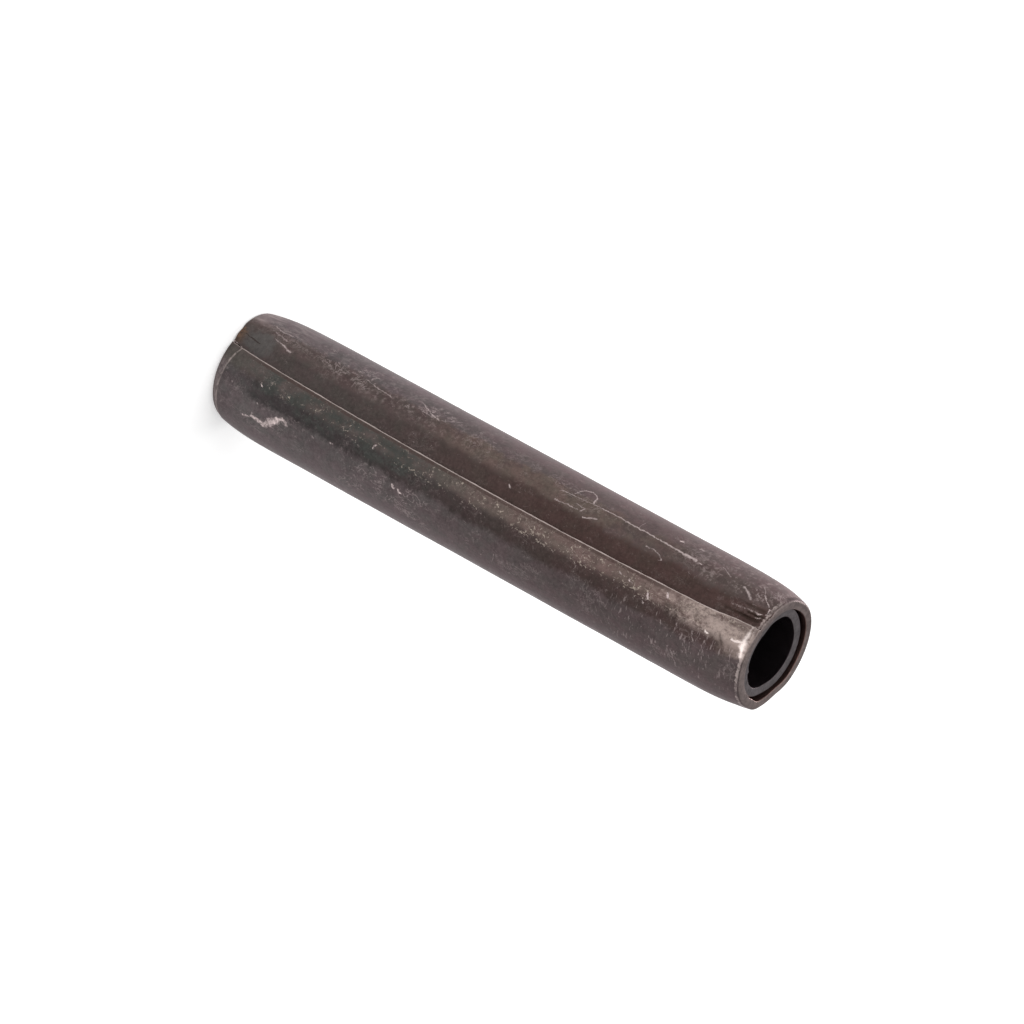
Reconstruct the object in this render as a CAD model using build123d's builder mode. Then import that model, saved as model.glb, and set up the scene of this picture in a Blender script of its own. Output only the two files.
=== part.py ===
"""Coiled spring pin, 10 mm nominal by 55 mm: one spring-steel strip rolled into two and a fifth
turns, swaged smaller at both ends. Millimetres, +Z along the pin, origin at the centre of its foot."""
import os
from math import ceil, cos, pi, radians, sin

from build123d import *

os.makedirs("parts", exist_ok=True)

# the pin as bought
free_diameter = 10.55       # across the straight body, before it is driven
pin_length = 55.0
strip = 0.78                # thickness of the rolled strip
wound = 793.0               # degrees of winding from the outer edge to the inner edge
clearance = 0.04            # left between turns that lie against each other

# the loose part of the winding, where the second turn stands off the first
loose_gap = 0.66            # extra gap at its widest
loose_from = 80.0           # degrees of winding from the outer edge
loose_to = 320.0

# the lap, where the first turn dives under its own outer edge
lap = 38.0                  # degrees over which the body's surface falls
tip_lap = 24.0              # the same at the ends, closed up by the swaging die

# the strip's own bow, which bends the seam along the pin
edge_bow = 5.5              # degrees that the seam leads at the ends over the middle
swage_lead = 2.0            # further degrees that the swaging winds on
seam_angle = -90.0          # the seam faces -Y at mid-length

# swaged ends
swage_length = 8.0
swage_drop = 0.53           # how far the ends stand in from the body, on radius
swage_power = 4.0           # how late the swage falls away
rim_bevel = 0.25            # corner of the outer turn, knocked off at 45 degrees
land = 0.40                 # flat ring left on the end of the outer turn

# how finely the winding and the swages are drawn
winding_step = 6.0          # degrees
swage_sections = 5

radius = free_diameter / 2
trim = 0.3                  # rolled over length, cut off again at each end
over = 1.0                  # how far cutters reach past the pin


def blend(x):
    """Smooth rise from 0 to 1 with level ends."""
    x = min(max(x, 0.0), 1.0)
    return x * x * (3 - 2 * x)


def swaged(height):
    """Share of the end's swage that a height has: 0 on the body, 1 on either end face."""
    from_end = min(height, pin_length - height)
    return max(1 - from_end / swage_length, 0.0) ** swage_power


def lap_width(height):
    """Degrees of winding that the lap takes at a height."""
    return lap + (tip_lap - lap) * swaged(height)


def gap_under(turned):
    """Gap between a turn and the one inside it, at an angle of winding of the outer one."""
    if loose_from < turned < loose_to:
        share = (turned - loose_from) / (loose_to - loose_from)
        return clearance + loose_gap * sin(pi * share) ** 2
    return clearance


def outside(turned, height):
    """Radius of the strip's outer face at an angle of winding."""
    if turned > 360:
        return outside(turned - 360, height) - strip - gap_under(turned - 360)
    into_lap = (turned - 360) / lap_width(height) + 1
    return radius - swage_drop * swaged(height) - (strip + clearance) * blend(into_lap)


def lead(height):
    """Degrees that the seam stands ahead of where it is at mid-length."""
    return edge_bow * (2 * height / pin_length - 1) ** 2 + swage_lead * swaged(height)


def at(turned, height, distance):
    """Point of a section at an angle of winding and a distance from the axis."""
    angle = radians(seam_angle - lead(height) + turned)
    return Vector(distance * cos(angle), distance * sin(angle))


def dive(height, inset):
    """One face of the strip from the start of the lap to the inner edge."""
    start = 360 - lap_width(height)
    steps = ceil((wound - start) / winding_step)
    turns = [start + (wound - start) * i / steps for i in range(steps + 1)]
    points = [at(u, height, outside(u, height) - inset) for u in turns]
    ends = [at(u + 90, height, (outside(u, height) - inset) * radians(wound - start))
            for u in (start, wound)]
    shares = [i / steps for i in range(steps + 1)]
    return Edge.make_spline(points, tangents=ends, parameters=shares, scale=False)


# where the sections stand: closest at the end faces, where the swage is steepest
rises = [(swage_length + trim) * (i / swage_sections) ** 1.5 - trim for i in range(swage_sections + 1)]
stretches = [rises, [swage_length, pin_length - swage_length], [pin_length - r for r in rises]]

with BuildPart() as coiled_strip:
    for stretch in stretches:
        for height in stretch:
            with BuildSketch(Plane.XY.offset(height)):
                with BuildLine():
                    first = seam_angle - lead(height)
                    size = radius - swage_drop * swaged(height)
                    CenterArc((0, 0), size, first, 360 - lap_width(height))
                    CenterArc((0, 0), size - strip, first, 360 - lap_width(height))
                    add(dive(height, 0.0))
                    add(dive(height, strip))
                    for edge in (0.0, wound):
                        outer = outside(edge, height)
                        Line(at(edge, height, outer), at(edge, height, outer - strip))
                make_face()
        loft(ruled=True)

    # each end: a bevelled rim, a flat land, and inside it the dish that the tilted turns leave
    face_edge_radius = radius - swage_drop * swaged(rim_bevel) - rim_bevel
    dish_radius = face_edge_radius - land
    dish_depth = dish_radius * swage_drop * swage_power / swage_length
    for level, facing in ((pin_length, -1), (0.0, 1)):
        with BuildSketch(Plane((0, 0, level), x_dir=(1, 0, 0), z_dir=(0, facing, 0))):
            with BuildLine():
                Polyline((0, over), (0, -dish_depth), (dish_radius, 0), (face_edge_radius, 0),
                         (face_edge_radius + over, -over), (face_edge_radius + over, over), close=True)
            make_face()
        revolve(axis=Axis.Z, mode=Mode.SUBTRACT)

    # the seam's bow over the straight body: the outer edge is cut back most at mid-length
    edge_x = -radius * sin(radians(lead(swage_length)))
    back_off = 0.1
    with BuildSketch(Plane.XZ.offset(radius - strip - clearance / 2)):
        with BuildLine():
            ThreePointArc((edge_x, swage_length), (0, pin_length / 2), (edge_x, pin_length - swage_length))
            Polyline((edge_x, pin_length - swage_length), (edge_x - back_off, pin_length - swage_length),
                     (edge_x - back_off, swage_length), (edge_x, swage_length))
        make_face()
    extrude(amount=strip + over, mode=Mode.SUBTRACT)

coiled_strip.part.label = "coiled_strip"
export_step(coiled_strip.part, "parts/coiled_strip.step")
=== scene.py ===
from math import cos, degrees, pi, radians, sin

import bpy
import numpy as np
from mathutils import Matrix, Vector


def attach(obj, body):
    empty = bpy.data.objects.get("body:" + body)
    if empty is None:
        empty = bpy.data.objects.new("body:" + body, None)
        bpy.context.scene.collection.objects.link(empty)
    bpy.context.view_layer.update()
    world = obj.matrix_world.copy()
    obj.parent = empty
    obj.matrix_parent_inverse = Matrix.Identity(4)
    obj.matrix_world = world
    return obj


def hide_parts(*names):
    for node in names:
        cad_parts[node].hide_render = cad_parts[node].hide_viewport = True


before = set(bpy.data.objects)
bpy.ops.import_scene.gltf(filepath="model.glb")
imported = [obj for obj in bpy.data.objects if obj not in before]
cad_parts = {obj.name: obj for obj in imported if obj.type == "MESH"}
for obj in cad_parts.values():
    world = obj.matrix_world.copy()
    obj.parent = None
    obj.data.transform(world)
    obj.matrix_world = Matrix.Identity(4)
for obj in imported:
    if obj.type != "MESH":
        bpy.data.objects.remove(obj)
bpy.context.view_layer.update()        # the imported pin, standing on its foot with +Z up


# ---- The coiled strip ---------------------------------------------------------------------------
# The whole pin is one strip of spring steel, rolled into two and a fifth turns on a mandrel and
# swaged smaller at both ends. The rolled strip keeps its sheared edges: the outer one is the seam
# along the side, and the inner one ends inside the bore. Lengths are in mm, angles in degrees.
mm = 0.001                  # in the scene's metres
pin_length = 55.0
body_radius = 5.275
strip = 0.78                # thickness of the strip
wound = 793.0               # winding from the outer edge to the inner edge
clearance = 0.04            # between turns that lie against each other
loose_gap = 0.44            # more than that, where the second turn stands off the first
loose_from, loose_to = 88.0, 312.0
gap_opens, gap_closes = 50.0, 60.0          # winding over which it opens and closes
lap, tip_lap = 38.0, 24.0   # winding over which the first turn dives: on the body, at the ends
edge_bow = 5.5              # how far the seam leads at the ends over the middle
swage_lead = 2.0            # and how much further the swaging winds on
seam_angle = -90.0
swage_length, swage_drop, swage_power = 8.0, 0.53, 4.0
rim_round = 0.19            # corner of the outer turn, on both end faces
turn_round = 0.07           # corner of the turns inside it
gap_round = 0.11            # inner corner of the outer turn, where the winding is loose
edge_round = 0.09           # corner of the sheared edges
land = 0.40                 # flat ring on the end of the outer turn
inner_drop, inner_slope = 0.25, 0.08        # how low the turns inside it end, and their slope
inner_edge_drop = 0.45      # how much lower the inner edge ends
run_on, run_on_below, run_on_power = 2.2, 36.0, 1.3       # the seam's run towards the foot
foot_spread, foot_spread_height = 2.0, 0.9  # how far the die spread the edge at the foot
top_spread, top_spread_from, top_spread_to = 2.0, 50.5, 53.0                # and at the top
beaten_height, beaten_reach = 0.62, 20.0    # the foot's corner that the die beat down


def blend(x):
    """Smooth rise from 0 to 1 with level ends."""
    x = np.clip(x, 0.0, 1.0)
    return x * x * (3 - 2 * x)


def bump_at(x, middle, reach):
    """Smooth bump of height 1 about the middle, gone at the reach."""
    return blend(1 - np.abs(x - middle) / reach)


def swaged(z):
    return np.maximum(1 - np.minimum(z, pin_length - z) / swage_length, 0.0) ** swage_power


def lead(z):
    return edge_bow * (2 * z / pin_length - 1) ** 2 + swage_lead * swaged(z)


def spread_edge(z):
    """Degrees by which the outer edge stands past its bow: it ran on towards the foot when the
    strip was rolled, and the die spread it over the lap at both ends."""
    ran_on = run_on * np.maximum(1 - z / run_on_below, 0.0) ** run_on_power
    at_foot = foot_spread * np.exp(-z / foot_spread_height)
    at_top = top_spread * blend((z - top_spread_from) / (top_spread_to - top_spread_from))
    return ran_on + at_foot + at_top


def gap_under(u):
    opened = blend((u - loose_from) / gap_opens) * blend((loose_to - u) / gap_closes)
    return clearance + loose_gap * opened


def coil_radius(u, z):
    """Radius of the strip's outer face at an angle of winding u and a height z."""
    turn = np.floor(u / 360)
    lap_here = lap + (tip_lap - lap) * swaged(z)
    into_lap = 1 - (360 - spread_edge(z) - (u - 360 * turn)) / lap_here
    r = body_radius - swage_drop * swaged(z) - (strip + clearance) * blend(into_lap)
    for k in (1, 2):
        r = r - np.where(turn >= k, strip + gap_under(u - 360 * k), 0.0)
    return r


# dents from handling: degrees of winding, height, reach, how deep they are sunk
chance = np.random.default_rng(11)
dents = [(chance.uniform(0, 360), chance.uniform(1.5, 53.5), chance.uniform(0.5, 1.3),
          chance.uniform(0.006, 0.02)) for _ in range(60)]
# the top end was squashed in the die, with a flat, a corner beside it and a shallow hollow further
# round: rise of the face, reach from the end, degrees of winding, half width
squashed = [(-0.22, 4.5, 152.0, 24.0), (0.14, 4.5, 119.0, 14.0), (-0.08, 1.6, 282.0, 30.0)]
swelled = (0.16, 2.0, 320.0, 40.0)      # and the foot came out fuller on the crest, past the lap
ripple_room = 0.011                     # keeps the ripples inside the body's radius


def worked(u, z):
    """What rolling, swaging and knocks did to the outer turn, as a change of radius."""
    arc = u * pi / 180 * body_radius
    change = 0.004 * np.sin(arc * 0.9 + z * 0.35) + 0.004 * np.sin(z * 0.8 - arc * 0.5 + 1.3)
    change = change + 0.003 * np.sin(arc * 2.3 + 0.4 * np.sin(z * 0.5)) - ripple_room
    for dent_u, dent_z, reach, sunk in dents:
        away = np.hypot((u - dent_u) * pi / 180 * body_radius, z - dent_z)
        change = change - sunk * blend(1 - away / reach)
    for risen, reach, middle, half in squashed:
        near = blend((z - (pin_length - reach)) / reach)
        change = change + risen * near * bump_at(u, middle, half)
    risen, reach, middle, half = swelled
    change = change + risen * blend((reach - z) / reach) * bump_at(u, middle, half)
    return np.where(u < 360, change * blend((358 - u) / 6), 0.0)


# creases pressed into the lap at the top end: degrees of winding, half width, height
creases = [(337.5, 4.5, -0.07), (343.0, 3.2, 0.06), (345.0, 0.9, -0.05), (347.0, 1.2, 0.03),
           (349.5, 2.6, -0.07)]
crease_slant = 0.36         # degrees that they lean over in 1 mm
beaten_slope = 0.20         # fall of the beaten corner
lap_filled = 0.54           # how far the lap was brought up at both ends


def pressed(u, z):
    """What the swaging die did to the outer face alone: it beat down the foot's corner of the
    outer edge, brought the lap up level with the edge at both ends, and creased it at the top."""
    starts = beaten_height + np.exp(-u / beaten_reach)
    beaten = np.where(u < 180, -beaten_slope * np.maximum(starts - z, 0.0), 0.0)
    at_end = np.maximum(blend((2.0 - z) / 1.7), blend((z - (pin_length - 1.5)) / 1.3))
    before_edge = 360.0 - spread_edge(z) - u
    filled = lap_filled * at_end * blend((before_edge - 0.05) / 0.7)
    filled = filled * blend((19.0 - before_edge) / 13.0)
    ridged = 0 * u
    for crease_u, half, tall in creases:
        crossed = bump_at(u + crease_slant * (z - pin_length), crease_u, half)
        ridged = ridged + tall * blend((z - 50.9) / 2.2) * crossed
    return beaten + filled * (u < 360) + ridged


# angles of winding: close together on the outer turn and at both sheared edges
edge_steps = np.degrees(np.array([0.0, 0.012, 0.032, 0.06, edge_round]) / body_radius)
windings = np.concatenate([edge_steps, np.arange(1.8, 330.0, 1.25), np.arange(330.0, 362.0, 0.5),
                           np.linspace(363.0, 785.0, 96), wound - 1.6 * edge_steps[::-1]])


def rows(end_rows, body_rows):
    """Heights as shares of the pin's length: close together where the swages turn in."""
    end_rows = np.array(end_rows)
    body = np.linspace(swage_length, pin_length - swage_length, body_rows)
    return np.concatenate([end_rows, body, pin_length - end_rows[::-1]]) / pin_length


outer_rows = rows([0.0, 0.12, 0.26, 0.42, 0.6, 0.8, 1.05, 1.35, 1.7, 2.1, 2.5, 3.0, 3.5, 4.0, 4.6,
                   5.2, 5.9, 6.6, 7.3], 88)
inner_rows = rows([0.0, 0.2, 0.6, 1.2, 2.0, 3.2, 4.6, 6.2], 16)

# one closed loop round the strip's section for each winding: foot, outer face, top, inner face
u = windings[:, None]
top_z = pin_length + 0 * u
corner_out = turn_round + (rim_round - turn_round) * (1 - blend((u - 350) / 10))
corner_in = turn_round + (gap_round - turn_round) * blend((u - 80) / 30) * blend((320 - u) / 30)
swing = np.radians([18.0, 36.0, 54.0, 72.0, 90.0])      # round a corner, from the wall to the face
face_shares = np.array([0.25, 0.5, 0.75])               # across the face between both corners
end_radius = coil_radius(u, top_z) + pressed(u, top_z)
faced = pin_length - inner_edge_drop * blend((u - 690) / 40)


def end_drop(r):
    """How far the end face lies below the pin's length: the outer turn has a flat land, and the
    turns inside it lie lower, all but level."""
    land_inside = body_radius - swage_drop - rim_round - land
    dished = np.maximum(land_inside - r, 0.0) * swage_drop * swage_power / swage_length
    inner = blend((u - 340) / 50)
    return dished * (1 - inner) + (inner_drop + (end_radius - r) * inner_slope) * inner


top_out = faced - end_drop(end_radius - corner_out)
top_in = faced - end_drop(coil_radius(u, top_z) - strip + corner_in)


def half_loop(from_foot):
    """Depths under the outer face, and heights, along one end face: from the outer corner to the
    inner one at the top, and the other way round at the foot."""
    rise_out = top_out - corner_out + corner_out * np.sin(swing)[None, :]
    depth_out = corner_out * (1 - np.cos(swing))[None, :]
    rise_in = top_in - corner_in + corner_in * np.sin(swing)[None, :]
    depth_in = strip - corner_in * (1 - np.cos(swing))[None, :]
    depth_face = depth_out[:, -1:] + (depth_in[:, -1:] - depth_out[:, -1:]) * face_shares[None, :]
    rise_face = faced - end_drop(coil_radius(u, top_z) - depth_face)
    depth = np.concatenate([depth_out, depth_face, depth_in[:, ::-1]], axis=1)
    rise = np.concatenate([rise_out, rise_face, rise_in[:, ::-1]], axis=1)
    return (depth[:, ::-1], pin_length - rise[:, ::-1]) if from_foot else (depth, rise)


foot_depth, foot_rise = half_loop(True)
top_depth, top_rise = half_loop(False)
wall_top, wall_foot = top_out - corner_out, pin_length - (top_out - corner_out)
bore_top, bore_foot = top_in - corner_in, pin_length - (top_in - corner_in)
outer_z = wall_foot + (wall_top - wall_foot) * outer_rows[None, :]
inner_z = bore_top + (bore_foot - bore_top) * inner_rows[None, :]
depths = np.concatenate([foot_depth, 0 * outer_z, top_depth, strip + 0 * inner_z], axis=1)
rises = np.concatenate([foot_rise, outer_z, top_rise, inner_z], axis=1)

# the sheared edges are rounded by drawing the last few loops in
from_edge = np.minimum(u, (wound - u)) * pi / 180 * body_radius
short = np.clip(edge_round - from_edge, 0.0, edge_round)
draw_in = edge_round - np.sqrt(edge_round**2 - short**2)
depths = draw_in + depths * (strip - 2 * draw_in) / strip

# the outer edge isn't quite straight: it is sheared, not ground
ragged = 0.22 * np.sin(rises * 1.7) * np.sin(rises * 0.63 + 1.0)
ragged = ragged + 0.12 * np.sin(rises * 5.3 + 0.5)
turned = u + ragged * np.exp(-u / 3.0) - spread_edge(rises) * np.exp(-u / 15.0)
inward = depths / strip
every_u = u + 0 * rises
radii = coil_radius(every_u, rises) - depths + worked(every_u, rises)
radii = radii + pressed(every_u, rises) * (1 - inward)
angles = np.radians(seam_angle - lead(rises) + turned)
points = np.stack([radii * np.cos(angles), radii * np.sin(angles), rises], axis=-1)

count, around = rises.shape
faces = []
for i in range(count - 1):
    a, b = i * around, (i + 1) * around
    faces += [(a + j, b + j, b + (j + 1) % around, a + (j + 1) % around) for j in range(around)]


def close_edge(column, flip):
    """Closes a sheared edge: triangles between the outer side and the inner side of one loop."""
    start = len(swing) + len(face_shares) // 2      # the middle of the foot's face
    over_top = foot_depth.shape[1] + outer_z.shape[1] + start
    side_a = [column * around + j for j in range(start, over_top + 1)]
    side_b = [column * around + j % around for j in range(around + start, over_top - 1, -1)]
    heights = rises[column]
    i = j = 0
    while i < len(side_a) - 1 or j < len(side_b) - 1:
        next_a = heights[side_a[min(i + 1, len(side_a) - 1)] - column * around]
        next_b = heights[side_b[min(j + 1, len(side_b) - 1)] - column * around]
        if j == len(side_b) - 1 or (i < len(side_a) - 1 and next_a <= next_b):
            triangle = (side_a[i], side_a[i + 1], side_b[j])
            i += 1
        else:
            triangle = (side_a[i], side_b[j + 1], side_b[j])
            j += 1
        if len(set(triangle)) == 3:
            faces.append(triangle[::-1] if flip else triangle)


close_edge(0, True)
close_edge(count - 1, False)

mesh = bpy.data.meshes.new("rolled_strip")
mesh.from_pydata((points.reshape(-1, 3) * mm).tolist(), [], faces)
mesh.validate()
mesh.shade_smooth()
mesh.set_sharp_from_angle(angle=radians(50))
coil = bpy.data.objects.new("rolled_strip", mesh)
bpy.context.scene.collection.objects.link(coil)


class Field:
    """A value that changes over a surface. Sums and products of fields add Math nodes."""

    def __init__(self, finish, socket):
        self.finish, self.socket = finish, socket

    def math(self, operation, *others):
        return self.finish.node("ShaderNodeMath", {"operation": operation}, self, *others)

    def __add__(self, other):
        return self.math("ADD", other)

    def __sub__(self, other):
        return self.math("SUBTRACT", other)

    def __rsub__(self, other):
        return self.finish.node("ShaderNodeMath", {"operation": "SUBTRACT"}, other, self)

    def __mul__(self, other):
        return self.math("MULTIPLY", other)

    def __truediv__(self, other):
        return self.math("DIVIDE", other)

    def __pow__(self, other):
        return self.math("POWER", other)

    __radd__, __rmul__ = __add__, __mul__

    def least(self, other):
        return self.math("MINIMUM", other)

    def most(self, other):
        return self.math("MAXIMUM", other)

    def rise(self, low, high):
        """0 below low, 1 above high, smooth between; the other way round if low is the greater."""
        if low > high:
            return 1 - self.rise(high, low)
        smooth = {"interpolation_type": "SMOOTHSTEP", "clamp": False}
        return self.finish.node("ShaderNodeMapRange", smooth, self, low, high, 0.0, 1.0)

    def within(self, low, high, soft):
        """1 between low and high, fading to 0 over the soft distance outside them."""
        return self.rise(low - soft, low) * self.rise(high + soft, high)


class Finish:
    """A material, and the one method that adds nodes to it."""

    def __init__(self, name):
        self.material = bpy.data.materials.new(name)
        self.material.use_nodes = True
        self.tree = self.material.node_tree
        self.tree.nodes.clear()

    def node(self, kind, settings=None, *values, out=0, **named):
        """Adds a node: plain values fill its sockets in turn, named ones by name, and out picks
        the output."""
        made = self.tree.nodes.new(kind)
        for name, value in (settings or {}).items():
            setattr(made, name, value)
        shown = [s for s in made.inputs if s.enabled]
        pairs = list(zip(shown, values))
        for name, value in named.items():
            pairs.append((next(s for s in shown if s.name == name.replace("_", " ")), value))
        for socket, value in pairs:
            if isinstance(value, Field):
                self.tree.links.new(value.socket, socket)
            elif value is not None:
                socket.default_value = value
        if isinstance(out, str):
            return Field(self, made.outputs[out])
        outputs = [s for s in made.outputs if s.enabled]
        return Field(self, outputs[out]) if outputs else made

    def mix(self, under, over, share):
        """One colour laid over another where the share is 1."""
        return self.node("ShaderNodeMix", {"data_type": "RGBA"}, share, under, over)

    def shade(self, colour, amount):
        """A colour made darker below 1 and lighter above it."""
        past_one = {"data_type": "RGBA", "clamp_factor": False}
        return self.node("ShaderNodeMix", past_one, amount, (0.0, 0.0, 0.0, 1.0), colour)

    def tint(self, colour, cast):
        """A colour multiplied by a cast of colour."""
        multiplied = {"data_type": "RGBA", "blend_type": "MULTIPLY"}
        return self.node("ShaderNodeMix", multiplied, 1.0, colour, cast)

    def vector(self, operation, *values, **named):
        return self.node("ShaderNodeVectorMath", {"operation": operation}, *values, **named)

    def parts(self, vector):
        """The x, y and z of a vector."""
        split = self.node("ShaderNodeSeparateXYZ", None, vector).socket.node
        return [Field(self, socket) for socket in split.outputs]


# Dark oxide from hardening, rubbed through by handling: a warm grey skin, browner in the lap where
# oil was baked on and darkened there with painted shade, burnished by the die beside the seam under
# a painted highlight on the swaged end, with pale scuffs and scratches over it, and painted
# highlights and shade along the edges, rims and creases. Colours are given at the foot and at the
# top of the pin where they drift along it.
crest_foot, crest_top = (0.112, 0.094, 0.096, 1.0), (0.113, 0.083, 0.082, 1.0)
side_foot, side_top = (0.099, 0.084, 0.085, 1.0), (0.078, 0.060, 0.060, 1.0)
shoulder_brown = (0.083, 0.061, 0.057, 1.0)
shoulder_olive = (0.113, 0.083, 0.071, 1.0)
# the lap: oil baked on, with painted shade where it dips under the edge
lap_foot, lap_top = (0.063, 0.051, 0.048, 1.0), (0.058, 0.037, 0.033, 1.0)
# the band beside the edge: a painted reflection over the oxide's own tone
band_foot, band_top = (0.084, 0.071, 0.065, 1.0), (0.124, 0.090, 0.081, 1.0)
# a painted dark reflection in a band on the flap beside the sheared edge
dark_reflection_foot, dark_reflection_top = (0.039, 0.035, 0.035, 1.0), (0.052, 0.035, 0.032, 1.0)
green_black = (0.050, 0.050, 0.047, 1.0)
# the die's burnish, also used for a painted highlight on the swaged end
burnish_and_highlight = (0.330, 0.262, 0.236, 1.0)
# pale colour of the painted glints
glint_pale = (0.740, 0.640, 0.605, 1.0)
scuffed = (0.400, 0.330, 0.322, 1.0)
gold_worn = (0.370, 0.310, 0.262, 1.0)
# pale colour of the painted highlights along the edges and rims
highlight_pale = (0.480, 0.400, 0.378, 1.0)
# dark brown of oil, also used for the painted shade in the creases
oil_and_shade_brown = (0.022, 0.014, 0.010, 1.0)
rust = (0.115, 0.068, 0.044, 1.0)
patina = (0.085, 0.079, 0.076, 1.0)
# painted light: a lighter brown for the walls of the gap between the turns
gap_painted_light = (0.190, 0.112, 0.098, 1.0)
bore_black = (0.056, 0.043, 0.048, 1.0)
rim_grey = (0.185, 0.150, 0.142, 1.0)
turn_grey = (0.118, 0.108, 0.111, 1.0)
pinkish, greenish = (1.045, 0.980, 1.000, 1.0), (0.972, 1.008, 0.988, 1.0)
glancing = (0.740, 0.690, 0.700, 1.0)       # tint of the steel at grazing angles

oxide = Finish("dark_oxide")
place = oxide.node("ShaderNodeMapping", None, Vector=oxide.node("ShaderNodeTexCoord", out="Object"),
                   Scale=(1 / mm,) * 3)
x, y, z = oxide.parts(place)
from_axis = (x * x + y * y) ** 0.5
to_middle = z * (2 / pin_length) - 1
to_end = z.least(pin_length - z)
swage = (1 - to_end / swage_length).most(0.0) ** swage_power
seam_lead = to_middle * to_middle * edge_bow + swage * swage_lead
# degrees from the seam's bow, below 0 on the lap; off_edge counts from the spread edge itself
off_seam = x.math("ARCTAN2", 0 - y) * degrees(1) + seam_lead
depth = body_radius - swage * swage_drop - from_axis
skin = depth.rise(1.45, 1.05)
off_edge = off_seam + z.rise(top_spread_from, top_spread_to) * top_spread
off_edge = off_edge + (1 - z / run_on_below).most(0.0) ** run_on_power * run_on
off_edge = off_edge + (z * (-1 / foot_spread_height)).math("EXPONENT") * foot_spread
flap, lapped = off_edge.rise(-0.4, 0.4), off_edge.rise(0.4, -0.4)


def grain(scale, detail=4.0, stretch=(1.0, 1.0, 1.0), roughness=0.55, distortion=0.0):
    """Cloudy grain about 0.5: the scale in 1/mm sets its size, and a small stretch draws it out."""
    stretched = oxide.node("ShaderNodeMapping", None, Vector=place, Scale=stretch)
    return oxide.node("ShaderNodeTexNoise", None, Vector=stretched, Scale=scale, Detail=detail,
                      Roughness=roughness, Distortion=distortion)


cloud = grain(0.30, 3.0)
mottle = grain(1.0, 6.0, roughness=0.68)
fleck = grain(3.6, 5.0, roughness=0.72)
along = grain(2.0, 4.0, (1.0, 1.0, 0.14), 0.62)
across = grain(1.7, 4.0, (0.25, 0.25, 1.0), 0.62)
hue = grain(0.8, 5.0, (1.1, 0.9, 0.7), 0.65)

# tones round the pin, with wandering borders: the side, the crest, its shoulder towards the seam,
# the lap, the band beside the edge, and a painted dark reflection after it
wander = off_seam + (mottle - 0.5) * 16.0 + (cloud - 0.5) * 12.0 + (fleck - 0.5) * 9.0
upward = z.rise(6.0, 44.0)
colour = oxide.mix(oxide.mix(side_foot, side_top, upward), oxide.mix(crest_foot, crest_top, upward),
                   lapped + off_seam.rise(105.0, 165.0))
shoulder = oxide.mix(shoulder_brown, shoulder_olive,
                     z.within(24.0, 41.0, 6.0) * (cloud + mottle * 0.5).rise(0.55, 0.85))
colour = oxide.mix(colour, shoulder, wander.within(-36.0, -18.0, 8.0) * lapped * 0.9)
# the lap darker and browner: oil baked on, and painted shade where it dips under the edge
colour = oxide.mix(colour, oxide.mix(lap_foot, lap_top, z.rise(8.0, 38.0)),
                   wander.within(-18.5, 40.0, 7.0) * lapped)
# the band beside the edge, lighter towards the top: a painted reflection over the oxide's tone
colour = oxide.mix(colour, oxide.mix(band_foot, band_top, z.rise(19.0, 34.0)),
                   wander.within(-40.0, 15.0, 6.0) * flap)
# painted dark reflection: a band on the flap beside the sheared edge, fainter at the foot
steady = off_seam + (mottle - 0.5) * 8.0 + (cloud - 0.5) * 12.0 + (fleck - 0.5) * 5.0
colour = oxide.mix(colour, oxide.mix(dark_reflection_foot, dark_reflection_top, upward),
                   steady.within(20.0, 28.0, 8.0) * flap * (1 - z.rise(6.0, 1.5) * 0.6) * 0.95)
colour = oxide.mix(colour, green_black,
                   wander.within(6.0, 24.0, 6.0) * flap * z.within(6.0, 20.0, 5.0)
                   * (hue + fleck * 0.7).rise(0.68, 1.00) * 0.90)
# a painted highlight along the far edge of the crest, and painted shade over the middle of the pin,
# deepest on a band of the crest that takes the over box's highlight and on a band of the side
far_edge_highlight = off_seam.within(-77.0, -62.0, 14.0)
mid_shade = z.within(9.0, 45.0, 4.0) * (off_seam.within(-58.0, -31.0, 8.0) * 0.06
                                     + off_seam.within(31.0, 45.0, 9.0) * 0.09 + 0.05)
colour = oxide.shade(colour, 1 + far_edge_highlight * 0.2 - mid_shade)

# uneven scale: darker and lighter clouds, and a drift between a pinkish and a greenish cast
uneven = 1 + (mottle - 0.5) * 1.05 + (fleck - 0.5) * 1.05
uneven = uneven + (along - 0.5) * 0.35 + (across - 0.5) * 0.25
colour = oxide.shade(colour, uneven)
colour = oxide.tint(colour, oxide.mix(pinkish, greenish, hue.rise(0.38, 0.62)))

# the die's burnish towards the top end, beside the seam: drawn out along the pin, brightest on the
# swaged end where a painted highlight lies over it, and dull again right beside the edge
drawn = along * 0.6 + mottle * 0.6 + fleck * 0.6
colour = oxide.mix(colour, oxide.shade(burnish_and_highlight, uneven),
                   wander.within(-40.0, 17.0, 8.0) * flap * skin * z.rise(42.0, 51.5)
                   * (drawn + z.rise(44.0, 55.0) * 0.22).rise(0.87, 1.17) * 0.85)
# a painted highlight on the swaged end beside the seam
end_highlight = ((off_seam + (mottle - 0.5) * 20.0).within(12.0, 29.0, 8.0)
            * (z + (mottle - 0.5) * 2.5).rise(51.9, 54.2) * skin)
colour = oxide.mix(colour, burnish_and_highlight, end_highlight * (drawn * 0.8).rise(0.45, 0.95) * 0.8)
dulled = (off_edge + (mottle - 0.5) * 8.0).within(0.0, 6.5, 3.5) * z.rise(51.6, 53.0) * skin
colour = oxide.mix(colour, oxide.shade(band_top, uneven), dulled * 0.75)

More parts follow.
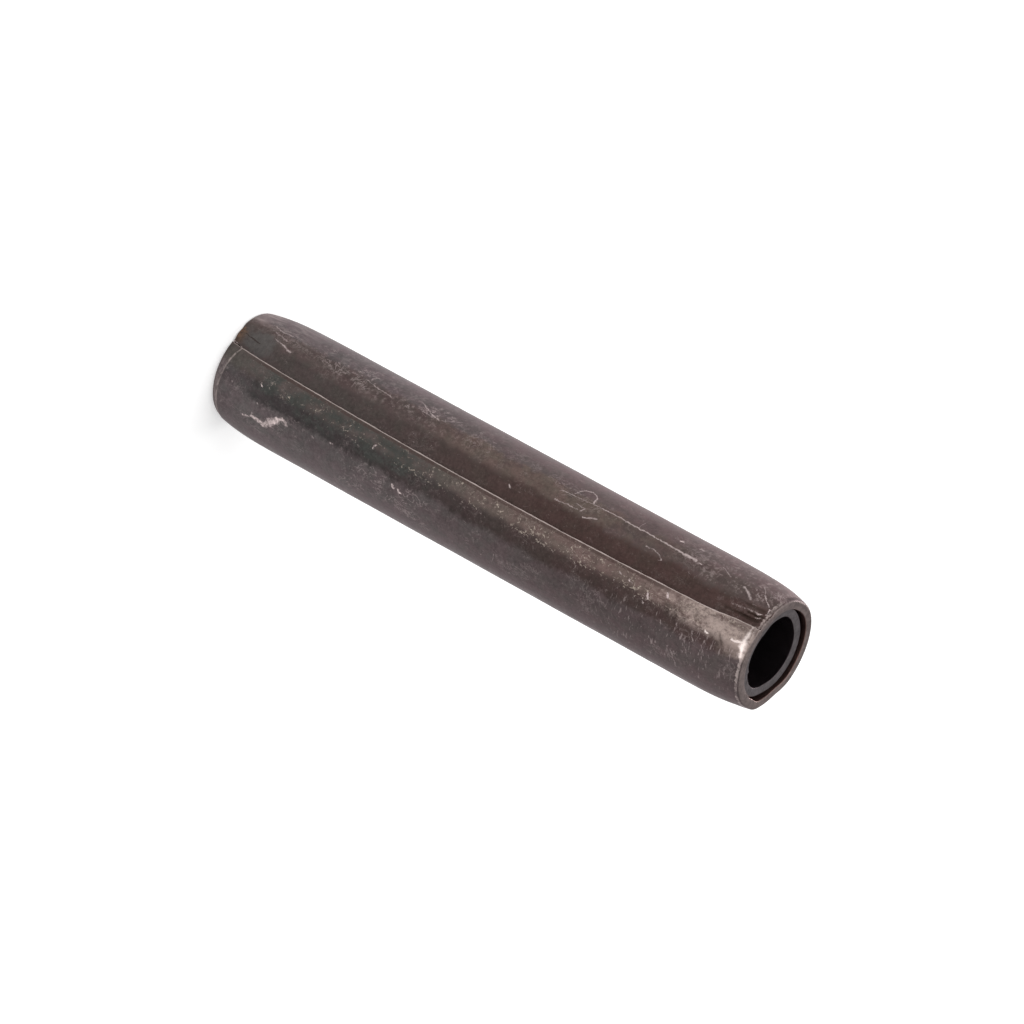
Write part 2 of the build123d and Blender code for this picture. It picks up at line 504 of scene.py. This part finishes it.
# rubbed places: crinkled lines where the oxide is scraped thin, flecks where it is knocked off, and
# short strokes across the side
crinkle = grain(0.95, 5.0, (1.0, 1.0, 0.75), 0.66, 1.3) - 0.5
crinkle = crinkle.math("ABSOLUTE", crinkle).rise(0.030, 0.006)
patches = (grain(0.42, 3.0, (1.0, 1.0, 0.7), 0.6) + (fleck - 0.5) * 0.35).rise(0.50, 0.60)
crest_rub = (off_seam + (cloud - 0.5) * 16.0).within(-52.0, -34.0, 6.0) * (
    0.20 + z.within(10.0, 22.0, 3.0) * 0.50 + z.rise(46.0, 52.0) * 0.35)
side_rub = off_seam.within(34.0, 62.0, 8.0) * (0.14 + z.within(15.0, 24.0, 3.0) * 0.22)
colour = oxide.mix(colour, scuffed,
                   crinkle * patches * (crest_rub + side_rub + 0.12).least(1.0) * skin * 0.7)
beside = off_seam.within(3.0, 17.0, 6.0) * flap * z.rise(2.0, 8.0)
chips = grain(3.8, 5.0, (1.0, 1.0, 0.75), 0.74, 1.0)
colour = oxide.mix(colour, oil_and_shade_brown,
                   (chips + beside * 0.02).rise(0.38, 0.31) * (beside * 0.5 + 0.2) * skin)
chips = (chips + beside * (patches * 0.03 + z.rise(20.0, 30.0) * 0.028)).rise(0.605, 0.67)
colour = oxide.mix(colour, oxide.mix(scuffed, gold_worn, beside),
                   chips * (beside * 0.6 + (cloud * 0.6 + patches * 0.8 + 0.1) * 0.35).least(1.0)
                   * skin * 0.9)
strokes = grain(3.0, 3.0, (0.45, 0.45, 1.6), 0.55, 0.6).rise(0.60, 0.68)
colour = oxide.mix(colour, scuffed, strokes * off_seam.within(26.0, 66.0, 10.0)
                   * (0.06 + z.rise(36.0, 48.0) * 0.46) * skin * 0.7)

# smears where the crest was driven and handled: soft and across at the top end, brushed along at
# the foot
smears = ((fleck + across * 0.6 + mottle * 0.4).rise(1.00, 1.20)
          * (off_seam + (cloud - 0.5) * 20.0).within(-62.0, -30.0, 8.0))
colour = oxide.mix(colour, scuffed,
                   smears * (z.rise(43.0, 50.0) * 0.8 + z.within(10.0, 24.0, 3.0) * 0.35)
                   * skin * 0.42)
brushed = (grain(2.6, 4.0, (1.0, 1.0, 0.22), 0.6, 0.4).rise(0.42, 0.66)
           * off_seam.within(-88.0, -42.0, 10.0))
colour = oxide.mix(colour, scuffed,
                   brushed * (z.rise(9.0, 3.0) + z.rise(2.2, 0.4) * 1.2).least(1.8) * skin * 0.32)
colour = oxide.mix(colour, scuffed, z.rise(2.4, 0.7) * off_seam.within(-78.0, -40.0, 10.0)
                   * (fleck * 0.5 + 0.05) * skin)

# a dark line of oil beside the sheared edge
oil_line = (off_edge + (fleck - 0.5) * 2.5).within(1.7, 3.4, 1.2) * z.within(5.0, 44.0, 4.0) * skin
colour = oxide.mix(colour, lap_top, oil_line * (fleck + mottle * 0.6).rise(0.6, 0.85) * 0.75)

# single marks: height and degrees off the seam at both ends, half width, weight
scratches = [
    (33.4, -34.8, 37.3, -37.4, 0.09, 0.65), (37.3, -37.4, 38.9, -37.9, 0.11, 0.80),
    (38.9, -37.9, 43.2, -36.3, 0.12, 0.80), (43.2, -36.3, 45.6, -35.2, 0.16, 0.80),
    (45.6, -35.1, 46.8, -35.0, 0.24, 0.80), (40.9, -47.0, 41.0, -38.0, 0.08, 0.55),
    (34.5, -38.2, 34.7, -45.0, 0.11, 0.75), (34.7, -45.0, 34.9, -48.5, 0.11, 0.75),
    (34.9, -48.5, 35.4, -50.6, 0.11, 0.80), (35.4, -50.6, 35.9, -48.8, 0.11, 0.85),
    (35.9, -48.8, 36.2, -45.3, 0.11, 0.80), (36.2, -45.3, 36.4, -37.5, 0.11, 0.75),
    (35.3, -29.8, 36.1, -29.0, 0.10, 0.60), (36.1, -29.0, 35.9, -25.0, 0.13, 0.65),
    (36.4, -21.5, 37.5, -26.2, 0.17, 0.65), (33.4, -24.4, 35.6, -25.4, 0.12, 0.60),
    (42.5, -24.8, 43.2, -25.5, 0.10, 0.60), (43.2, -25.5, 44.0, -23.5, 0.10, 0.70),
    (44.0, -23.5, 44.3, -20.8, 0.10, 0.65), (44.3, -20.8, 44.1, -19.0, 0.09, 0.50),
    (49.0, -42.8, 50.1, -36.2, 0.09, 0.65), (51.6, -33.2, 52.7, -26.6, 0.21, 0.75),
    (52.5, -38.2, 52.6, -36.5, 0.10, 0.60), (52.8, -45.8, 53.5, -35.3, 0.07, 0.75),
    (53.4, -35.8, 54.3, -26.8, 0.09, 0.90), (12.6, -38.0, 13.9, -36.0, 0.09, 0.60),
    (13.9, -36.0, 15.6, -34.5, 0.10, 0.70), (15.6, -34.5, 16.3, -26.0, 0.08, 0.45),
    (18.0, -47.2, 19.3, -40.2, 0.10, 0.70), (19.3, -40.2, 20.5, -37.0, 0.11, 0.70),
    (20.5, -37.0, 22.0, -49.8, 0.09, 0.60), (2.4, -41.0, 3.3, -38.0, 0.20, 0.62),
    (3.3, -38.0, 4.5, -39.5, 0.18, 0.62), (3.0, -34.0, 4.4, -31.5, 0.17, 0.55),
    (3.4, -28.0, 4.4, -26.2, 0.13, 0.65), (4.4, -26.2, 5.3, -24.2, 0.20, 0.75),
    (48.5, 49.8, 49.0, 64.2, 0.09, 0.60), (49.5, 34.5, 50.2, 49.8, 0.08, 0.55),
    (47.0, 29.0, 47.2, 33.0, 0.12, 0.60), (50.0, 26.0, 50.4, 33.5, 0.09, 0.60),
    (51.2, 33.2, 51.6, 41.8, 0.08, 0.55), (29.2, 60.0, 29.5, 53.0, 0.08, 0.50),
    (30.3, 62.0, 30.6, 50.0, 0.07, 0.50),
]
knocks_and_glints = [
    (3.9, 53.9, 4.7, 51.8, 0.22, 0.60), (4.7, 51.8, 4.9, 46.5, 0.16, 0.55),
    (4.9, 49.5, 6.4, 51.5, 0.32, 0.72), (6.3, 51.0, 6.6, 46.8, 0.42, 0.85),
    (6.6, 46.5, 7.4, 40.5, 0.54, 0.88), (7.4, 40.0, 7.9, 36.0, 0.36, 0.75),
    (8.0, 36.0, 8.5, 38.5, 0.22, 0.75), (29.3, -15.8, 29.4, -14.4, 0.11, 1.00),
    (19.8, 37.5, 20.0, 39.8, 0.18, 1.00), (20.4, 39.2, 20.6, 41.5, 0.17, 1.00),
    (46.7, 5.2, 46.9, 8.0, 0.15, 1.00), (45.1, 13.0, 45.3, 17.4, 0.10, 0.90),
    (17.2, 12.0, 17.0, 17.0, 0.09, 0.70), (44.4, -48.4, 44.7, -47.8, 0.17, 0.75),
    (46.2, -51.8, 46.5, -51.2, 0.15, 0.70), (47.1, -33.7, 47.4, -33.2, 0.13, 0.60),
    (13.0, 31.3, 13.2, 31.8, 0.10, 0.75), (11.2, 35.3, 11.4, 35.8, 0.10, 0.65),
    (4.9, 17.0, 5.1, 17.5, 0.09, 0.85), (5.2, 34.0, 5.3, 34.5, 0.10, 0.85),
    (3.4, 33.3, 3.5, 33.8, 0.09, 0.65), (2.2, 28.8, 2.3, 29.3, 0.09, 0.60),
    (43.2, 10.5, 43.4, 11.0, 0.10, 0.80), (42.1, 8.0, 42.3, 8.5, 0.11, 0.90),
    (45.0, 22.2, 45.1, 22.9, 0.10, 0.80), (41.9, 17.2, 42.0, 17.8, 0.08, 0.80),
    (0.1, -4.6, 0.5, -3.7, 0.16, 0.85), (0.5, -3.7, 1.1, -3.4, 0.11, 0.50),
    # painted highlights on the ridges of the creases and on the rim, at the top end of the lap
    (52.6, -16.9, 53.9, -17.2, 0.17, 0.45), (53.9, -17.2, 54.3, -17.2, 0.12, 0.60),
    (53.8, -13.4, 54.3, -12.8, 0.08, 0.50), (51.5, -15.0, 52.7, -16.9, 0.26, 0.36),
    (54.5, -19.5, 54.6, -25.5, 0.13, 0.90),
]
crease_shade_and_oil = [
    # painted shade in the valleys of the creases at the top end
    (51.2, -9.8, 52.6, -10.5, 0.30, 0.70), (52.6, -10.5, 54.3, -9.5, 0.36, 0.85),
    (53.1, -15.0, 54.5, -15.0, 0.14, 1.00), (51.2, -23.8, 52.6, -21.8, 0.30, 0.45),
    (52.6, -21.8, 54.2, -21.5, 0.30, 0.60), (53.9, -11.9, 54.5, -11.5, 0.12, 1.00),
    # painted shade in a crease at the foot, and a dark mark of oil beside the edge near the top
    (0.7, -18.0, 2.4, -16.7, 0.085, 0.90), (52.4, 18.0, 52.8, 24.8, 0.30, 0.60),
]
# painted glints on the rim of the top end beside the seam, and a dot below them
top_glints = [
    (54.4, -2.0, 54.4, 6.0, 0.20, 0.50), (54.4, 6.0, 54.4, 14.0, 0.32, 0.75),
    (54.4, 14.0, 54.4, 20.0, 0.42, 0.90), (54.4, 20.0, 54.6, 29.5, 0.30, 0.80),
    (53.4, 17.2, 54.2, 16.6, 0.20, 0.70), (51.1, 20.0, 51.3, 20.5, 0.16, 0.80),
]
per_degree = pi / 180 * body_radius
unrolled = oxide.node("ShaderNodeCombineXYZ", None, z, off_seam * per_degree, 0.0)
shake = oxide.node("ShaderNodeTexNoise", None, Vector=place, Scale=2.2, Detail=6.0, Roughness=0.75,
                   out="Color")
shake = oxide.vector("SUBTRACT", shake, (0.5, 0.5, 0.5))
shake = oxide.vector("MULTIPLY", shake, (1.0, 1.0, 0.0))


def marked(marks, wobble):
    """How strongly a place is marked: a stroke's weight on its middle, fading to 0 at its edge."""
    where = oxide.vector("ADD", unrolled, oxide.vector("SCALE", shake, Scale=wobble))
    strongest = None
    for start_z, start_u, stop_z, stop_u, half, weight in marks:
        start = Vector((start_z, start_u * per_degree, 0.0))
        run = Vector((stop_z, stop_u * per_degree, 0.0)) - start
        rest = oxide.vector("SUBTRACT", where, start)
        share = oxide.vector("DOT_PRODUCT", rest, run, out="Value") / run.length_squared
        nearest = oxide.vector("SCALE", run, Scale=share.least(1.0).most(0.0))
        away = oxide.vector("DISTANCE", rest, nearest, out="Value")
        stroke = away.math("MULTIPLY_ADD", -weight / half, weight)
        strongest = stroke if strongest is None else strongest.most(stroke)
    return strongest.most(0.0) * skin


# the foot end beside the seam: a green-grey patch and a first bloom of rust
by_seam = off_seam + (mottle - 0.5) * 26.0 + (fleck - 0.5) * 10.0
by_seam = by_seam.within(-24.0, -10.0, 8.0) * lapped
colour = oxide.mix(colour, oxide.shade(patina, uneven),
                   by_seam * (z + (mottle - 0.5) * 4.0).within(1.6, 3.2, 1.4) * skin * 0.8)
bloom = ((z + (fleck - 0.5) * 1.6).rise(1.2, 0.3)
         * (off_seam + (fleck - 0.5) * 14.0).within(-19.0, -8.0, 4.0) * skin)
colour = oxide.mix(colour, oxide.shade(rust, fleck * 4.0 - 0.9),
                   bloom * (fleck * 0.9 + mottle * 0.5).rise(0.45, 0.85) * 0.9)

# the single marks, each broken up by the grain
broken = fleck * 1.5 + along * 0.7
# dark marks: painted shade in the creases, and oil
colour = oxide.mix(colour, oil_and_shade_brown, (marked(crease_shade_and_oil, 0.35) * broken).rise(0.15, 0.95) * 0.75)
wear_and_glints = (marked(scratches, 0.5) * broken).rise(0.28, 0.90)
colour = oxide.mix(colour, scuffed, wear_and_glints * 0.95)
# knocks, and painted highlights on the crease ridges and the rim
knock_and_glint_share = (marked(knocks_and_glints, 0.9) * broken).rise(0.22, 0.80)
colour = oxide.mix(colour, oxide.shade(scuffed, fleck * 4.0 - 1.0), knock_and_glint_share)
# painted glints on the top end's rim
glint_share = (marked(top_glints, 0.6) * broken).rise(0.05, 0.95)
colour = oxide.mix(colour, glint_pale, glint_share)
wear_and_glints = wear_and_glints + knock_and_glint_share + glint_share

# painted highlights: a thin line along the sheared edge, and another round the rim of the top end
edge_highlight = ((off_edge * per_degree + (fleck - 0.5) * 0.08).within(-0.03, 0.065, 0.045)
             * depth.rise(1.0, 0.84))
colour = oxide.mix(colour, highlight_pale,
                   edge_highlight * (0.60 + along * 0.5 + (fleck - 0.5)).rise(0.45, 0.85)
                   * (0.74 + z.rise(20.0, 30.0) * 0.08))
rim_highlight = ((z + (fleck - 0.5) * 0.45).within(54.66, 54.80, 0.08) * from_axis.rise(4.25, 4.4)
            * off_seam.rise(-48.0, -34.0))
colour = oxide.mix(colour, highlight_pale, rim_highlight * (mottle * 0.8 + fleck * 0.7).rise(0.56, 1.0) * 0.8)

# the corner that the die beat down at the foot: rubbed over, with a painted highlight along its top
chamfer_at = beaten_height + (off_edge * (-1 / beaten_reach)).math("EXPONENT")
chamfer_rub = (chamfer_at - z).rise(0.0, 0.12) * off_seam.within(22.0, 80.0, 14.0) * skin
colour = oxide.mix(colour, scuffed, chamfer_rub * (fleck * 0.9 + mottle * 0.5 - 0.45).most(0.0))
chamfer_highlight = ((z - chamfer_at + (fleck - 0.5) * 0.12).within(-0.03, 0.05, 0.08) * flap
                * off_seam.rise(120.0, 80.0) * skin)
colour = oxide.mix(colour, highlight_pale, chamfer_highlight * (mottle + fleck * 0.5).rise(0.50, 0.85) * 0.6)

# inside, the faces that look inward are painted a light brown, as painted light in the gap where
# little light reaches; the bore is darker, and the ends of the turns were ground grey
normal_x, normal_y, normal_z = oxide.parts(oxide.node("ShaderNodeTexCoord", out="Normal"))
facing_out = (normal_x * x + normal_y * y) / from_axis
ground_face = normal_z.math("ABSOLUTE").rise(0.55, 0.85)
# painted light on the faces that look inward into the gap
colour = oxide.mix(colour, gap_painted_light, facing_out.rise(-0.2, -0.6))
colour = oxide.mix(colour, bore_black, (1 - skin) * (1 - ground_face))
ring_tone = (mottle + fleck * 0.8).rise(0.62, 1.18) * 0.7 + 0.65
colour = oxide.mix(colour, oxide.shade(rim_grey, ring_tone), ground_face * depth.rise(1.25, 1.0))
colour = oxide.mix(colour, oxide.shade(turn_grey, ring_tone), ground_face * depth.rise(0.90, 1.05))

# painted shade on the crest of the rim, made darker and rougher against the back box's highlight
crest_rim_shade = z.rise(54.45, 54.7) * off_seam.rise(-44.0, -54.0) * from_axis.rise(4.15, 4.35)
crest_rim_shade = crest_rim_shade * (1 - ground_face * 0.8)
colour = oxide.mix(colour, oxide.shade(side_top, uneven), crest_rim_shade * 0.8)

# the steel: duller and smoother in turn with the grain, smoothest where it is worn and where glints
# are painted, faintly uneven
rough = crest_rim_shade * 0.25 + 0.43 + (mottle - 0.5) * 0.40 + (along - 0.5) * 0.20
rough = rough - wear_and_glints.least(1.0) * 0.10
height = mottle * 0.012 + fleck * 0.008 + along * 0.004 + across * 0.003
normal = oxide.node("ShaderNodeBump", None, Strength=1.0, Distance=mm, Height=height)
steel = oxide.node("ShaderNodeBsdfPrincipled", None, Base_Color=colour, Metallic=0.92,
                   Roughness=rough, Normal=normal, Specular_Tint=glancing)
oxide.node("ShaderNodeOutputMaterial", None, Surface=steel)
mesh.materials.append(oxide.material)

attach(coil, "root")
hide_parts("coiled_strip")


# ---- The floor ----------------------------------------------------------------------------------
# A plain white board that the pin stands on. It shows white to the camera and to polished metal,
# and still takes the pin's shadow.
half_board = 1.5
board_tone, board_glow = 0.86, 0.35
corners = [(-half_board, -half_board, 0), (half_board, -half_board, 0),
           (half_board, half_board, 0), (-half_board, half_board, 0)]
board_mesh = bpy.data.meshes.new("floor")
board_mesh.from_pydata(corners, [], [(0, 1, 2, 3)])
board = bpy.data.objects.new("floor", board_mesh)
bpy.context.scene.collection.objects.link(board)
board_white = Finish("board_white")
ray = board_white.node("ShaderNodeLightPath").socket.node.outputs
seen = Field(board_white, ray["Is Camera Ray"])
seen = seen.most(Field(board_white, ray["Is Glossy Ray"]))
seen = seen.most(Field(board_white, ray["Is Transmission Ray"]))
lit = board_white.node("ShaderNodeBsdfDiffuse", None, Color=(board_tone,) * 3 + (1.0,))
glow = board_white.node("ShaderNodeEmission", None, Color=(1.0, 1.0, 1.0, 1.0),
                        Strength=seen * board_glow)
board_white.node("ShaderNodeOutputMaterial", None,
                 Surface=board_white.node("ShaderNodeAddShader", None, lit, glow))
board_mesh.materials.append(board_white.material)


# ---- The light ----------------------------------------------------------------------------------
# A white room with three soft boxes: a broad one over the pin, a low one beside the camera that the
# swaged end catches, and a low one behind that draws a pale edge along the far side.
world = bpy.data.worlds.new("white_room")
bpy.context.scene.world = world
world.use_nodes = True
room = world.node_tree.nodes["Background"].inputs
room["Color"].default_value = (1.0, 1.0, 1.0, 1.0)
room["Strength"].default_value = 0.72

middle = Vector((0.0, 0.0, pin_length / 2 * mm))


def soft_box(name, azimuth, elevation, distance, width, power):
    """A square soft light that looks at the middle of the pin: angles in degrees, distance and
    width in metres, power in watts."""
    turned, raised = radians(azimuth), radians(elevation)
    away = Vector((cos(turned) * cos(raised), sin(turned) * cos(raised), sin(raised)))
    lamp = bpy.data.lights.new(name, "AREA")
    lamp.shape, lamp.size, lamp.energy = "SQUARE", width, power
    box = bpy.data.objects.new(name, lamp)
    aim = away.to_track_quat("Z", "Y").to_matrix().to_4x4()
    box.matrix_world = Matrix.Translation(middle + away * distance) @ aim
    bpy.context.scene.collection.objects.link(box)


soft_box("over_box", 215.0, 62.0, 0.8, 0.6, 2.2)
soft_box("low_box", 298.0, 12.0, 0.7, 0.25, 0.6)
soft_box("back_box", 130.0, 5.0, 0.7, 0.3, 4.2)


# ---- The camera ---------------------------------------------------------------------------------
# A long lens half a metre away, looking down on the pin and rolled far over, so that the standing
# pin lies across the picture with its upper end at the lower right.
swung, raised, rolled = radians(4.5), radians(28.04), radians(-118.705)
view_distance, slide_right, slide_up = 0.5206, -0.000507, 0.000412
right = Vector((cos(swung), sin(swung), 0.0))
up = Vector((-sin(swung) * sin(raised), cos(swung) * sin(raised), cos(raised)))
back = Vector((sin(swung) * cos(raised), -cos(swung) * cos(raised), sin(raised)))
cam_right = right * cos(rolled) - up * sin(rolled)
cam_up = right * sin(rolled) + up * cos(rolled)
lens = bpy.data.cameras.new("camera")
lens.lens, lens.sensor_width = 226.6, 36.0
lens.clip_start, lens.clip_end = 0.01, 10.0
camera = bpy.data.objects.new("camera", lens)
stand = middle + back * view_distance - cam_right * slide_right - cam_up * slide_up
aim = Matrix((cam_right, cam_up, back)).transposed().to_4x4()
camera.matrix_world = Matrix.Translation(stand) @ aim
bpy.context.scene.collection.objects.link(camera)
bpy.context.scene.camera = camera
bpy.context.scene.view_settings.view_transform = "Standard"
